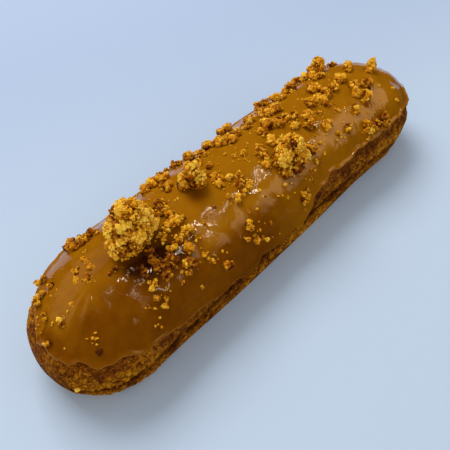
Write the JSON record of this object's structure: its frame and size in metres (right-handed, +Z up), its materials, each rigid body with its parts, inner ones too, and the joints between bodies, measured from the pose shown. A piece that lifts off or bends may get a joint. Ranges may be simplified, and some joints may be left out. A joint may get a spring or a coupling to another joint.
{
  "type": "eclair",
  "caption": "Long finger-shaped choux pastry under a glossy caramel glaze with wavy runs down its sides, topped with clumps and crumbs of golden crumble.",
  "frame": {"origin": "middle of the flat foot that the eclair rests on", "axes": "+X along the eclair, +Y towards the side that it bows out to, +Z up from the foot to the glazed top"},
  "size_m": [0.1494, 0.04, 0.0394],
  "materials": {
    "choux_crust": "golden-brown baked choux crust, rough and blistered, with darker pits",
    "caramel_glaze": "set caramel glaze, smooth and glossy, slightly uneven",
    "crumble": "golden, sugary crumble with pale grains and dark hollows",
    "crumble_dark": "browner crumble, moist from the glaze"
  },
  "bodies": {
    "root": {"choux_shell": "choux_crust", "glaze": "caramel_glaze", "clump_large": "crumble", "clump_dark": "crumble_dark", "clump_middle": "crumble", "clump_far": "crumble"}
  },
  "joints": []
}
